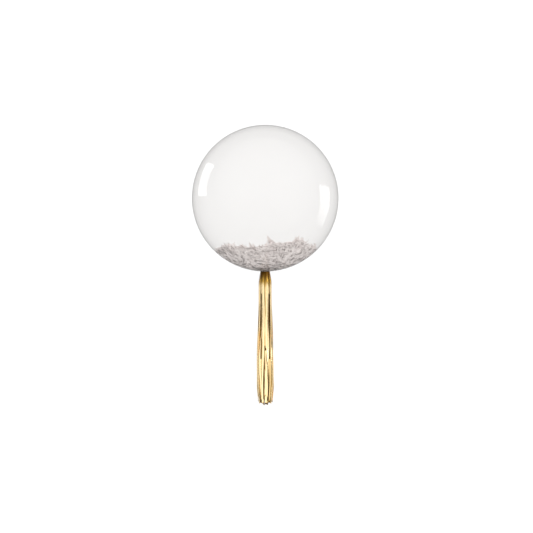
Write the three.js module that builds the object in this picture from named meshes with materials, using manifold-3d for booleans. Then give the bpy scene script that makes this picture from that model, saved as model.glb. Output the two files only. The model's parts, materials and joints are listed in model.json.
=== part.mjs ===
// A clear bubble balloon with a gold foil tassel on its neck, lying on a floor.
//
// Millimetres, +Z up. The origin is the centre of the small flat spot on which the bubble rests.
// The neck points along -Y and is tipped down towards the floor, so the tassel leaves it, droops
// to the floor and lies there along -Y. The air and the feathers are sealed in the film, so the
// bubble is one solid with the film's outer form.
import * as THREE from "three";
import { mergeVertices } from "three/addons/utils/BufferGeometryUtils.js";
import Module from "manifold-3d";

const wasm = await Module();
wasm.setup();

const { degToRad, lerp, smoothstep } = THREE.MathUtils;

// ---- Driving dimensions -------------------------------------------------------------------------

const BUBBLE_RADIUS = 250;
const FLAT_SPOT_DEPTH = 2; // the film gives this much where it rests
const NECK_TIPPED_DOWN = degToRad(24); // the neck's axis below the horizontal
const NECK_RADIUS = 8;
const NECK_LENGTH = 12;
const NECK_FLARE = 9; // radius of the hollow fillet between the bubble and its neck
const PIECE_GAP = 0.4; // between the film and the tassel's head

const TASSEL_RUN = 432; // along the floor, from the neck's root to the longest strip's end
const TASSEL_DROOP = 0.56; // the share of that run in which it comes down to the floor
const TASSEL_ROOT_DEPTH = 3; // the head starts this far inside the bubble, and is cut to fit it
const LYING_THICKNESS = 26; // of the bundle where it lies
const LYING_SINK = 1; // the floor flattens the lowest strips this much

// Half widths of the bundle, and the shares of its length over which each change happens.
const HEAD = { radius: 15.5, growth: 5.5, from: -0.02, to: 0.07 };
const SKIRT = { growth: 8.5, from: 0.18, to: 0.78 };
const TIPS = { taper: 4, from: 0.84, to: 1 };
const CINCH = { depth: 1.4, at: 0.135, spread: 0.018 }; // the slight waist below the head
const FLATTENING = { from: 0.1, to: 0.6 }; // the round bundle settles to its lying thickness

const STRIPS = {
  count: 16,
  width: 7,
  thickness: 2.6,
  spacingScatter: 0.3, // of the even spacing
  unevenEnds: 0.07, // the shortest strip ends this share of the length early
  swayLeast: 0.05, // radians round the bundle
  swayMost: 0.13,
  swayTurns: 0.95, // waves of sway in the whole length
  roll: 0.35, // radians a strip may turn off the bundle's surface
};
const SWAY_GROWS = { from: 0.15, to: 0.6 };
const ROLL_GROWS = { from: 0.15, to: 0.5 };

// The inner strips, as one body, against the bundle's width. It thins where the strips part.
const CORE = { share: 0.8, sides: 14, end: 0.975, thinning: 0.2, from: 0.7 };

const LATHE_STEPS = 48;
const ARC_STEPS = 24;
const FLARE_STEPS = 5;
const BUNDLE_STEPS = 14;

// ---- Directions and the tassel's path -----------------------------------------------------------

const ACROSS = new THREE.Vector3(1, 0, 0);
const bubbleCentre = new THREE.Vector3(0, 0, BUBBLE_RADIUS - FLAT_SPOT_DEPTH);
const neckDirection = new THREE.Vector3(0, -Math.cos(NECK_TIPPED_DOWN), -Math.sin(NECK_TIPPED_DOWN));

// A point on the neck's axis, so far from the bubble's centre.
function onNeckAxis(distance) {
  return bubbleCentre.clone().addScaledVector(neckDirection, distance);
}

// The bundle's middle line: out of the neck, down in one bend, and then flat along the floor.
function tasselPath() {
  const root = onNeckAxis(BUBBLE_RADIUS - TASSEL_ROOT_DEPTH);
  const lyingHeight = LYING_THICKNESS / 2 - LYING_SINK;
  const tip = new THREE.Vector3(0, onNeckAxis(BUBBLE_RADIUS).y - TASSEL_RUN, lyingHeight);
  const landing = new THREE.Vector3(0, lerp(root.y, tip.y, TASSEL_DROOP), lyingHeight);
  const leaving = root.clone().addScaledVector(neckDirection, 0.4 * TASSEL_DROOP * TASSEL_RUN);
  const arriving = new THREE.Vector3(0, lerp(root.y, tip.y, 0.65 * TASSEL_DROOP), lyingHeight);
  const path = new THREE.CurvePath();
  path.add(new THREE.CubicBezierCurve3(root, leaving, arriving, landing));
  path.add(new THREE.LineCurve3(landing, tip));
  return path;
}

// ---- Geometry helpers ---------------------------------------------------------------------------

// A closed three.js geometry as a solid.
function toSolid(geometry) {
  const bare = new THREE.BufferGeometry();
  bare.setAttribute("position", geometry.getAttribute("position"));
  bare.setIndex(geometry.getIndex());
  const merged = mergeVertices(bare, 1e-4);
  const index = merged.getIndex();
  const triangles = [];
  for (let i = 0; i < index.count; i += 3) {
    const [a, b, c] = [index.getX(i), index.getX(i + 1), index.getX(i + 2)];
    if (a !== b && b !== c && c !== a) triangles.push(a, b, c);
  }
  return new wasm.Manifold(
    new wasm.Mesh({
      numProp: 3,
      vertProperties: merged.getAttribute("position").array,
      triVerts: new Uint32Array(triangles),
    }),
  );
}

// A solid as a three.js geometry.
function toGeometry(solid) {
  const { numProp, vertProperties, triVerts } = solid.getMesh();
  const positions = new Float32Array((vertProperties.length / numProp) * 3);
  for (let i = 0; i < positions.length / 3; i++) {
    positions.set(vertProperties.subarray(i * numProp, i * numProp + 3), i * 3);
  }
  const geometry = new THREE.BufferGeometry();
  geometry.setAttribute("position", new THREE.BufferAttribute(positions, 3));
  geometry.setIndex(new THREE.BufferAttribute(new Uint32Array(triVerts), 1));
  geometry.computeVertexNormals();
  return geometry;
}

// Moves every vertex of a geometry to where place(x, y, z) puts it.
function bend(geometry, place) {
  const position = geometry.getAttribute("position");
  for (let i = 0; i < position.count; i++) {
    const moved = place(position.getX(i), position.getY(i), position.getZ(i));
    position.setXYZ(i, moved.x, moved.y, moved.z);
  }
  return geometry;
}

// Cuts off whatever of a solid would be under the floor.
function settle(solid) {
  const floor = new THREE.BoxGeometry(6 * BUBBLE_RADIUS, 6 * BUBBLE_RADIUS, BUBBLE_RADIUS);
  floor.translate(0, 0, -BUBBLE_RADIUS / 2);
  return solid.subtract(toSolid(floor));
}

// How far a change that happens between two shares of the length has come, from 0 to 1.
function progress(share, span) {
  return smoothstep(share, span.from, span.to);
}

// A number from 0 to 1 that is always the same for the same seed.
function scatter(seed) {
  const wave = Math.sin(seed * 12.9898 + 4.1414) * 43758.5453;
  return wave - Math.floor(wave);
}

// ---- The bubble ---------------------------------------------------------------------------------

// The film's outline from the tied end of the neck to the far pole, grown outwards by a margin.
function bubbleProfile(margin) {
  const sphere = BUBBLE_RADIUS + margin;
  const neck = NECK_RADIUS + margin;
  const flare = NECK_FLARE - margin;
  const neckEnd = -(BUBBLE_RADIUS + NECK_LENGTH + margin);
  const points = [new THREE.Vector2(0, neckEnd), new THREE.Vector2(neck, neckEnd)];

  // The flare touches the neck's side and the sphere, so its centre lies outside both.
  const flareX = neck + flare;
  const flareY = -Math.sqrt((sphere + flare) ** 2 - flareX ** 2);
  const towardsSphere = Math.atan2(-flareY, -flareX);
  for (let i = 0; i <= FLARE_STEPS; i++) {
    const angle = lerp(Math.PI, towardsSphere, i / FLARE_STEPS);
    points.push(new THREE.Vector2(flareX + flare * Math.cos(angle), flareY + flare * Math.sin(angle)));
  }

  const start = Math.atan2(flareY, flareX);
  for (let i = 1; i < ARC_STEPS; i++) {
    const angle = lerp(start, Math.PI / 2, i / ARC_STEPS);
    points.push(new THREE.Vector2(sphere * Math.cos(angle), sphere * Math.sin(angle)));
  }
  points.push(new THREE.Vector2(0, sphere));
  return points;
}

// The film's outer form with its neck tipped down, before it settles on the floor.
function bubbleBody(margin) {
  const geometry = new THREE.LatheGeometry(bubbleProfile(margin), LATHE_STEPS);
  geometry.rotateX(NECK_TIPPED_DOWN);
  geometry.translate(bubbleCentre.x, bubbleCentre.y, bubbleCentre.z);
  return toSolid(geometry);
}

function bubble() {
  const material = new THREE.MeshStandardMaterial({
    color: 0xf7f6f4,
    roughness: 0.05,
    metalness: 0,
    transparent: true,
    opacity: 0.2,
  });
  const mesh = new THREE.Mesh(toGeometry(settle(bubbleBody(0))), material);
  mesh.name = "clear_bubble";
  return mesh;
}

// ---- The tassel ---------------------------------------------------------------------------------

// Half the bundle's width at a share of its length, from the bubble to the strips' ends.
function halfWidth(share) {
  const cinch = CINCH.depth * Math.exp(-(((share - CINCH.at) / CINCH.spread) ** 2));
  return (
    HEAD.radius +
    HEAD.growth * progress(share, HEAD) +
    SKIRT.growth * progress(share, SKIRT) -
    TIPS.taper * progress(share, TIPS) -
    cinch
  );
}

// Half the bundle's thickness: round in the head, and settled flatter where it lies.
function halfHeight(share) {
  return lerp(halfWidth(share), LYING_THICKNESS / 2, progress(share, FLATTENING));
}

// Puts points given as (across, up, share of the length) round the bundle's middle line.
function bundlePlacer(path) {
  return (across, up, share) => {
    const middle = path.getPointAt(share);
    const upward = path.getTangentAt(share).cross(ACROSS);
    return middle.addScaledVector(ACROSS, across).addScaledVector(upward, up);
  };
}

// The inner strips, which hardly show singly, as one body down the middle of the bundle.
function tasselCore(place) {
  const geometry = new THREE.CylinderGeometry(1, 1, 1, CORE.sides, BUNDLE_STEPS);
  geometry.rotateX(Math.PI / 2);
  geometry.translate(0, 0, 0.5);
  return toSolid(
    bend(geometry, (x, y, z) => {
      const share = z * CORE.end;
      const fill = CORE.share * (1 - CORE.thinning * smoothstep(share, CORE.from, CORE.end));
      return place(x * fill * halfWidth(share), y * fill * halfHeight(share), share);
    }),
  );
}

// One foil strip on the bundle's outside, which sways a little and is cut to its own length.
function outerStrip(place, number) {
  const angle = (2 * Math.PI * (number + STRIPS.spacingScatter * scatter(number))) / STRIPS.count;
  const cutAt = 1 - STRIPS.unevenEnds * scatter(number + 50);
  const sway = lerp(STRIPS.swayLeast, STRIPS.swayMost, scatter(number + 100));
  const phase = 2 * Math.PI * scatter(number + 150);
  const roll = STRIPS.roll * lerp(-1, 1, scatter(number + 200));
  const inset = STRIPS.thickness / 2;
  const geometry = new THREE.BoxGeometry(STRIPS.width, STRIPS.thickness, 1, 1, 1, BUNDLE_STEPS);
  geometry.translate(0, 0, 0.5);
  return toSolid(
    bend(geometry, (x, y, z) => {
      const share = z * cutAt;
      const wide = halfWidth(share);
      const high = halfHeight(share);
      const wave = Math.sin(2 * Math.PI * STRIPS.swayTurns * share + phase);
      const around = angle + sway * progress(share, SWAY_GROWS) * wave;
      const outward = Math.atan2(wide * Math.sin(around), high * Math.cos(around));
      const turned = outward - Math.PI / 2 + roll * progress(share, ROLL_GROWS);
      return place(
        (wide - inset) * Math.cos(around) + x * Math.cos(turned) - y * Math.sin(turned),
        (high - inset) * Math.sin(around) + x * Math.sin(turned) + y * Math.cos(turned),
        share,
      );
    }),
  );
}

function tassel() {
  const place = bundlePlacer(tasselPath());
  let bundle = tasselCore(place);
  for (let number = 0; number < STRIPS.count; number++) {
    bundle = bundle.add(outerStrip(place, number));
  }
  const fitted = settle(bundle.subtract(bubbleBody(PIECE_GAP)));
  const material = new THREE.MeshStandardMaterial({ color: 0xd9b25c, roughness: 0.25, metalness: 1 });
  const mesh = new THREE.Mesh(toGeometry(fitted), material);
  mesh.name = "foil_tassel";
  return mesh;
}

// ---- The whole balloon --------------------------------------------------------------------------

const balloon = new THREE.Group();
balloon.add(bubble(), tassel());

export default balloon;
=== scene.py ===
"""A clear bubble balloon lying down: clear film, white feathers in it and a gold foil tassel.

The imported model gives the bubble's place and size and the way of its neck. The film becomes a thin
walled bubble with its neck gathered in pleats, the feathers cling round the inside of the neck's
end, and the tassel becomes a bundle of loose foil strips along the same path as its solid.
"""
import json
import logging
import math
from dataclasses import asdict, dataclass
from enum import Enum

import bpy
import numpy as np
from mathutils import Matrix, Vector, noise


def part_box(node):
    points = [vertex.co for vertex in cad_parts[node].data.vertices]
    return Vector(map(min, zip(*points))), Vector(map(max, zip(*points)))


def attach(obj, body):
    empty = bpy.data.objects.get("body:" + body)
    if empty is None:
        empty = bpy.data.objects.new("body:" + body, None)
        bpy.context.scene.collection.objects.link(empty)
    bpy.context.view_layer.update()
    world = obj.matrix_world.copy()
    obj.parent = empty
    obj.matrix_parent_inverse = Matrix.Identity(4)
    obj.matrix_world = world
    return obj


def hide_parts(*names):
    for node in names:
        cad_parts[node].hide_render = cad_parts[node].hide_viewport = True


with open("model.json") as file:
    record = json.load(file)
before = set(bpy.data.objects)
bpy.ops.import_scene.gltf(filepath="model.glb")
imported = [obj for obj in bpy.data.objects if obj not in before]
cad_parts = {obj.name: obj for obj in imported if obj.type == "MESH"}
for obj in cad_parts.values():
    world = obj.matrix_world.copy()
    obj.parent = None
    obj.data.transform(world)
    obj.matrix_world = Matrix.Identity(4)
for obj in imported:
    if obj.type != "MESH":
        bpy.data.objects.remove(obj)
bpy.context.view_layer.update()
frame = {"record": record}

MM = 0.001
log = logging.getLogger("balloon")

Colour = tuple[float, float, float]
Key = tuple[float, float]

BLACK: Colour = (0.0, 0.0, 0.0)
WHITE: Colour = (1.0, 1.0, 1.0)


# ---- Numbers ----


def smooth(value: np.ndarray | float, start: float, end: float) -> np.ndarray | float:
    """How far a change from start to end has come, from 0 to 1, with soft ends.

    Args:
        value: Where to read the change.
        start: Where it begins.
        end: Where it is complete.

    Returns:
        The eased share, of the same kind as value.
    """
    share = np.clip((value - start) / (end - start), 0.0, 1.0)
    return share * share * (3.0 - 2.0 * share)


def keyed(value: np.ndarray | float, keys: tuple[Key, ...]) -> np.ndarray | float:
    """A value read off straight lines between (place, value) keys."""
    return np.interp(value, [key[0] for key in keys], [key[1] for key in keys])


def unit(vectors: np.ndarray) -> np.ndarray:
    """The same vectors, each of length one."""
    return vectors / np.maximum(np.linalg.norm(vectors, axis=-1, keepdims=True), 1e-12)


def circle(count: int) -> np.ndarray:
    """Points round a level circle of radius one."""
    turns = np.linspace(0, 2 * math.pi, count, endpoint=False)
    return np.stack([np.cos(turns), np.sin(turns), np.zeros_like(turns)], axis=1)


def ring_steps(count: int) -> list[tuple[int, int]]:
    """Each number of a closed ring with the one that follows it."""
    return [(number, (number + 1) % count) for number in range(count)]


def ring_quads(rings: int, spokes: int) -> list[tuple[int, int, int, int]]:
    """The quads between rings of points.

    Args:
        rings: How many rings there are.
        spokes: How many points each has.

    Returns:
        The corners of each: two along the lower ring, then the two above them, backwards.
    """
    return [
        (low + spoke, low + following, low + spokes + following, low + spokes + spoke)
        for low in range(0, (rings - 1) * spokes, spokes)
        for spoke, following in ring_steps(spokes)
    ]


# ---- Node trees ----


class Signal:
    """A number that runs through a node tree, on which sums are written as on plain numbers."""

    def __init__(self, draft: "Draft", socket: bpy.types.NodeSocket) -> None:
        """Wraps one output socket of a draft's tree."""
        self.draft = draft
        self.socket = socket

    def _sum(self, operation: str, *values: object) -> "Signal":
        """One Math node on one or two values."""
        return self.draft.wire("ShaderNodeMath", dict(enumerate(values)), operation=operation)

    def __add__(self, other: object) -> "Signal":
        """self + other."""
        return self._sum("ADD", self, other)

    def __radd__(self, other: object) -> "Signal":
        """other + self."""
        return self._sum("ADD", other, self)

    def __sub__(self, other: object) -> "Signal":
        """self - other."""
        return self._sum("SUBTRACT", self, other)

    def __rsub__(self, other: object) -> "Signal":
        """other - self."""
        return self._sum("SUBTRACT", other, self)

    def __mul__(self, other: object) -> "Signal":
        """self * other."""
        return self._sum("MULTIPLY", self, other)

    def __rmul__(self, other: object) -> "Signal":
        """other * self."""
        return self._sum("MULTIPLY", other, self)

    def __truediv__(self, other: object) -> "Signal":
        """self / other."""
        return self._sum("DIVIDE", self, other)

    def __pow__(self, other: object) -> "Signal":
        """self raised to other."""
        return self._sum("POWER", self, other)

    def sine(self) -> "Signal":
        """The signal's sine."""
        return self._sum("SINE", self)

    def eased(self, start: float, end: float) -> "Signal":
        """How far the signal has come from start to end, from 0 to 1, with soft ends."""
        inputs = {"Value": self, "From Min": start, "From Max": end}
        return self.draft.wire(
            "ShaderNodeMapRange", inputs, interpolation_type="SMOOTHSTEP", clamp=True
        )


class Draft:
    """A node tree being drawn, for a material, the sky or a geometry group."""

    def __init__(self, tree: bpy.types.NodeTree) -> None:
        """Starts on an empty tree."""
        self.tree = tree
        tree.nodes.clear()

    def node(self, kind: str, inputs: dict | None = None, **settings: object) -> bpy.types.Node:
        """Adds one node.

        Args:
            kind: The node's type.
            inputs: What each socket takes, by name or number: a value, or a socket to link.
            settings: Its settings, which are set first.

        Returns:
            The new node.
        """
        made = self.tree.nodes.new(kind)
        for name, value in settings.items():
            setattr(made, name, value)
        for key, value in (inputs or {}).items():
            for given in value if isinstance(value, list) else [value]:
                source = given.socket if isinstance(given, Signal) else given
                if isinstance(source, bpy.types.NodeSocket):
                    self.tree.links.new(source, made.inputs[key])
                else:
                    made.inputs[key].default_value = source
        return made

    def out(
        self, kind: str, inputs: dict | None = None, output: str | int = 0, **settings: object
    ) -> bpy.types.NodeSocket:
        """Adds one node and returns one of its outputs."""
        return self.node(kind, inputs, **settings).outputs[output]

    def wire(
        self, kind: str, inputs: dict | None = None, output: str | int = 0, **settings: object
    ) -> Signal:
        """Adds one node and returns one of its outputs as a signal."""
        return Signal(self, self.out(kind, inputs, output, **settings))


class MaterialDraft(Draft):
    """The node tree of one material, round one Principled shader."""

    def __init__(self, name: str) -> None:
        """Makes an empty material of that name."""
        self.material = bpy.data.materials.new(name)
        self.material.use_nodes = True
        super().__init__(self.material.node_tree)
        self.place = self.out("ShaderNodeTexCoord", output="Object")

    def attribute(self, name: str) -> Signal:
        """A number stored on the piece under that name."""
        return self.wire("ShaderNodeAttribute", output="Fac", attribute_name=name)

    def grain(self, size: float, detail: float = 2.0, stretch: Colour = (1.0, 1.0, 1.0)) -> Signal:
        """Soft noise from 0 to 1.

        Args:
            size: The width of one patch, in metres.
            detail: How many finer layers it has.
            stretch: How much finer it is along each axis.

        Returns:
            The noise.
        """
        where = self.out("ShaderNodeVectorMath", {0: self.place, 1: stretch}, operation="MULTIPLY")
        inputs = {"Vector": where, "Scale": 1.0 / size, "Detail": detail}
        return self.wire("ShaderNodeTexNoise", inputs)

    def blend(self, share: object, first: object, second: object) -> bpy.types.NodeSocket:
        """A colour between two others, by a share from 0 to 1."""
        inputs = {0: share}
        for key, colour in ((6, first), (7, second)):
            inputs[key] = (*colour, 1.0) if isinstance(colour, tuple) else colour
        return self.out("ShaderNodeMix", inputs, 2, data_type="RGBA")

    def bump(self, height: Signal, depth: float) -> bpy.types.NodeSocket:
        """A normal from a height, where a height of 1 stands depth metres proud."""
        return self.out("ShaderNodeBump", {"Strength": 1.0, "Distance": depth, "Height": height})

    def finish(
        self, inputs: dict, volume: bpy.types.NodeSocket | None = None
    ) -> bpy.types.Material:
        """Adds the Principled shader and the output.

        Args:
            inputs: What the shader's sockets take.
            volume: A shader for the inside, if the piece is clear.

        Returns:
            The finished material.
        """
        ends = {"Surface": self.out("ShaderNodeBsdfPrincipled", inputs)}
        if volume is not None:
            ends["Volume"] = volume
        self.node("ShaderNodeOutputMaterial", ends)
        return self.material


class Socket(Enum):
    """The kinds of value that a geometry group takes."""

    GEOMETRY = "NodeSocketGeometry"
    NUMBER = "NodeSocketFloat"
    WHOLE = "NodeSocketInt"
    MATERIAL = "NodeSocketMaterial"


class GeometryDraft(Draft):
    """The node tree of one geometry group, with named inputs."""

    def __init__(self, name: str, inputs: dict[str, Socket]) -> None:
        """Makes a group that takes those inputs and gives back geometry."""
        tree = bpy.data.node_groups.new(name, "GeometryNodeTree")
        super().__init__(tree)
        for label, kind in inputs.items():
            tree.interface.new_socket(name=label, in_out="INPUT", socket_type=kind.value)
        tree.interface.new_socket(
            name="Geometry", in_out="OUTPUT", socket_type=Socket.GEOMETRY.value
        )
        self.given = self.node("NodeGroupInput").outputs

    def taken(self, *names: str) -> list[Signal]:
        """Those of the group's inputs, as signals."""
        return [Signal(self, self.given[name]) for name in names]

    def read(self, name: str, kind: str = "FLOAT") -> bpy.types.NodeSocket:
        """A value stored on the geometry under that name."""
        return self.out("GeometryNodeInputNamedAttribute", {"Name": name}, data_type=kind)

    def chance(self, low: float, high: float, seed: object) -> Signal:
        """A random number for each element, between low and high."""
        inputs = {2: low, 3: high, "Seed": seed}
        return self.wire("FunctionNodeRandomValue", inputs, 1, data_type="FLOAT")

    def vector(self, x: object, y: object, z: object) -> bpy.types.NodeSocket:
        """Three numbers as one vector."""
        return self.out("ShaderNodeCombineXYZ", {0: x, 1: y, 2: z})

    def position(self) -> list[Signal]:
        """The three numbers of each point's place."""
        place = self.out("GeometryNodeInputPosition")
        outputs = self.node("ShaderNodeSeparateXYZ", {0: place}).outputs
        return [Signal(self, socket) for socket in outputs]

    def finish(self, geometry: bpy.types.NodeSocket) -> bpy.types.NodeTree:
        """Sends geometry out of the group and returns the group."""
        self.node("NodeGroupOutput", {0: geometry})
        return self.tree

    def finish_piece(self, geometry: bpy.types.NodeSocket) -> bpy.types.NodeTree:
        """Realizes what the group has made and gives it the material that the group takes."""
        real = self.out("GeometryNodeRealizeInstances", {0: geometry})
        inputs = {"Geometry": real, "Material": self.given["Material"]}
        return self.finish(self.out("GeometryNodeSetMaterial", inputs))


# ---- Meshes and pieces ----


def new_mesh(name: str, points: np.ndarray, edges: list, faces: list) -> bpy.types.Mesh:
    """A mesh from points in metres and either edges or faces."""
    mesh = bpy.data.meshes.new(name)
    mesh.from_pydata([tuple(map(float, point)) for point in points], edges, faces)
    mesh.update()
    return mesh


def store(mesh: bpy.types.Mesh, name: str, values: np.ndarray) -> None:
    """Keeps a number, whole number or vector on each of a mesh's points.

    Args:
        mesh: The mesh that keeps them.
        name: The name under which they are kept.
        values: One row for each point.
    """
    if values.ndim == 2:
        kind, key = "FLOAT_VECTOR", "vector"
    else:
        kind, key = ("INT" if values.dtype.kind == "i" else "FLOAT"), "value"
    layer = mesh.attributes.new(name, kind, "POINT")
    layer.data.foreach_set(key, np.ascontiguousarray(values).ravel())


def points_of(mesh: bpy.types.Mesh) -> np.ndarray:
    """A mesh's points as an array."""
    flat = np.empty(len(mesh.vertices) * 3)
    mesh.vertices.foreach_get("co", flat)
    return flat.reshape(-1, 3)


def new_piece(name: str, mesh: bpy.types.Mesh) -> bpy.types.Object:
    """Puts a finished mesh in the scene as a piece of the balloon.

    Args:
        name: The piece's name.
        mesh: Its mesh, in the balloon's own frame.

    Returns:
        The piece, riding with the balloon.
    """
    piece = bpy.data.objects.new(name, mesh)
    bpy.context.scene.collection.objects.link(piece)
    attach(piece, "root")
    log.info("%s: %d faces", name, len(mesh.polygons))
    return piece


def grow(
    name: str,
    seed: bpy.types.Mesh,
    tree: bpy.types.NodeTree,
    values: dict[str, object],
    wall: float = 0.0,
) -> bpy.types.Mesh:
    """Runs a geometry group on a mesh and keeps what it makes as a plain mesh.

    Args:
        name: The new mesh's name.
        seed: The mesh that the group starts from.
        tree: The group.
        values: What the group's inputs take, by name.
        wall: A thickness that the result gets, in metres, or 0 for none.

    Returns:
        The plain mesh.
    """
    holder = bpy.data.objects.new(name, seed)
    bpy.context.scene.collection.objects.link(holder)
    maker = holder.modifiers.new("maker", "NODES")
    maker.node_group = tree
    for item in tree.interface.items_tree:
        if item.in_out == "INPUT" and item.name in values:
            maker[item.identifier] = values[item.name]
    if wall > 0:
        solid = holder.modifiers.new("wall", "SOLIDIFY")
        solid.thickness, solid.offset = wall, 0.0
    graph = bpy.context.evaluated_depsgraph_get()
    mesh = bpy.data.meshes.new_from_object(holder.evaluated_get(graph))
    mesh.name = name
    holder.modifiers.clear()
    bpy.data.objects.remove(holder)
    bpy.data.meshes.remove(seed)
    return mesh


# ---- How the balloon lies ----


@dataclass(frozen=True)
class Bearings:
    """The bubble's centre and radius, and the balloon's own three directions."""

    centre: np.ndarray
    radius: float
    neck: np.ndarray  # from the centre out through the neck
    across: np.ndarray  # level, to the right as seen from the tassel's end
    under: np.ndarray  # square to both, on the side that the bubble lies on

    @classmethod
    def read(cls) -> "Bearings":
        """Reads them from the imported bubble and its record."""
        low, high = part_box("clear_bubble")
        radius = (high.x - low.x) / 2
        tie = next(m for m in frame["record"]["mounts"] if m["name"] == "neck_tie")
        neck = Vector(tie["axis"]).normalized()
        across = Vector((1.0, 0.0, 0.0))
        centre = Vector(((low.x + high.x) / 2, (low.y + high.y) / 2, high.z - radius))
        return cls(
            np.array(centre), radius, np.array(neck), np.array(across), np.array(across.cross(neck))
        )

    def ray(self, polar: np.ndarray, around: np.ndarray) -> np.ndarray:
        """Directions from the centre.

        Args:
            polar: Angles from the neck's direction.
            around: Angles about it, from the under side towards the across side.

        Returns:
            One unit vector for each pair of angles.
        """
        polar, around = np.broadcast_arrays(polar, around)
        return (
            np.cos(polar)[..., None] * self.neck
            + (np.sin(polar) * np.cos(around))[..., None] * self.under
            + (np.sin(polar) * np.sin(around))[..., None] * self.across
        )


# ---- Finishes ----


@dataclass(frozen=True)
class ClearFilm:
    """Clear blown film, too thin to bend what is behind it and grey at its edge."""

    tint: Colour = (0.985, 0.980, 0.975)
    bending: float = 1.002
    gloss: float = 0.14
    coat_bending: float = 1.6
    coat_roughness: float = 0.02
    dye: Colour = (0.04, 0.03, 0.03)
    density: float = 116.0
    ripple: float = 35 * MM
    crinkle: float = 0.04 * MM

    def make(self) -> bpy.types.Material:
        """Builds the material."""
        draft = MaterialDraft("clear_film")
        dye = {"Color": (*self.dye, 1.0), "Density": self.density}
        return draft.finish(
            {
                "Base Color": (*self.tint, 1.0),
                "Roughness": 0.0,
                "IOR": self.bending,
                "Transmission Weight": 1.0,
                "Coat Weight": self.gloss,
                "Coat Roughness": self.coat_roughness,
                "Coat IOR": self.coat_bending,
                "Normal": draft.bump(draft.grain(self.ripple, 3.0), self.crinkle),
            },
            draft.out("ShaderNodeVolumeAbsorption", dye),
        )


@dataclass(frozen=True)
class WhiteDown:
    """Soft white down, a little mauve in its own shade, with painted shade where it lies against the
    film by the neck.
    """

    light: Colour = (0.85, 0.80, 0.785)
    deep: Colour = (0.66, 0.60, 0.59)
    # painted shade: the colour the down takes near the film by the neck
    packed: Colour = (0.38, 0.335, 0.325)
    drift: float = 30 * MM
    patch: float = 12 * MM
    barb: float = 1.6 * MM
    fluff: float = 0.3 * MM
    specular: float = 0.2
    sheen: float = 0.2
    sheen_roughness: float = 0.5

    def make(self) -> bpy.types.Material:
        """Builds the material."""
        draft = MaterialDraft("white_feather")
        tone = draft.attribute("tone")
        patches = draft.grain(self.patch, 3.0)
        share = (tone * 0.25 + patches * 0.4 + draft.grain(self.drift) * 1.2 - 0.55).eased(0.0, 1.0)
        loose = draft.blend(share, self.light, self.deep)
        # painted shade: how far the down takes the painted neck shade, with patchy noise at its edge
        pressed = (draft.attribute("packed") + (patches - 0.5) * 0.3).eased(0.0, 1.0)
        height = draft.grain(self.barb) + 0.6 * patches
        return draft.finish(
            {
                "Base Color": draft.blend(pressed, loose, self.packed),
                "Roughness": 0.75 + 0.15 * patches,
                "Specular IOR Level": self.specular,
                "Sheen Weight": self.sheen,
                "Sheen Roughness": self.sheen_roughness,
                "Normal": draft.bump(height, self.fluff),
            }
        )


@dataclass(frozen=True)
class GoldFoil:
    """Thin gold foil, cut in strips and creased along them, darkened by its tone and with painted
    shade towards the head of the bundle.
    """

    bright: Colour = (0.96, 0.76, 0.43)
    deep: Colour = (0.42, 0.25, 0.05)
    darkest: Colour = (0.07, 0.03, 0.003)
    gathered: float = 0.13  # the share of the bundle's length, from its head, that the painted head shade darkens
    streak: float = 4 * MM
    dent: float = 9 * MM
    crease: float = 0.5 * MM

    def make(self) -> bpy.types.Material:
        """Builds the material."""
        draft = MaterialDraft("gold_foil")
        streaks = draft.grain(self.streak, 2.0, (1.0, 0.06, 0.06))
        dents = draft.grain(self.dent, 3.0, (1.0, 0.35, 0.35))
        # painted shade: the foil darkens towards the bundle's head by the bubble
        painted_head_shade = 1 - draft.attribute("along").eased(0.0, self.gathered)
        # how dark the foil is: its tone attribute, the painted head shade and fine streaks
        dark = draft.attribute("tone") + painted_head_shade * 2.2 + (streaks - 0.5) * 0.3
        tone_with_painted_shade = draft.blend(dark.eased(0.0, 1.0), self.bright, self.deep)
        return draft.finish(
            {
                "Base Color": draft.blend(dark.eased(0.8, 2.2), tone_with_painted_shade, self.darkest),
                "Metallic": 1.0,
                "Roughness": 0.16 + 0.16 * dents,
                "Normal": draft.bump(dents + 0.5 * streaks, self.crease),
            }
        )


@dataclass(frozen=True)
class PaleCard:
    """The floor's pale card, lit a little from below so that no shadow on it is hard."""

    shade: float = 0.13
    glow: float = 0.91
    patch: float = 0.4

    def make(self) -> bpy.types.Material:
        """Builds the material."""
        draft = MaterialDraft("pale_card")
        shade = 0.99 * self.shade + draft.grain(self.patch) * (0.02 * self.shade)
        return draft.finish(
            {
                "Base Color": draft.blend(shade, BLACK, WHITE),
                "Roughness": 0.9,
                "Specular IOR Level": 0.1,
                "Emission Color": (*WHITE, 1.0),
                "Emission Strength": self.glow,
            }
        )


@dataclass(frozen=True)
class LampCard:
    """A panel of plain light, even or fading towards one end."""

    name: str
    strength: float
    fades: Key | None = None  # from dark to full, as places along Y

    def make(self) -> bpy.types.Material:
        """Builds the material."""
        draft = MaterialDraft(self.name)
        share: object = 1.0
        if self.fades is not None:
            along = draft.wire("ShaderNodeSeparateXYZ", {0: draft.place}, "Y")
            share = along.eased(*self.fades)
        return draft.finish(
            {
                "Base Color": (*BLACK, 1.0),
                "Specular IOR Level": 0.0,
                "Emission Color": draft.blend(share, BLACK, WHITE),
                "Emission Strength": self.strength,
            }
        )


# ---- The film ----


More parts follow.
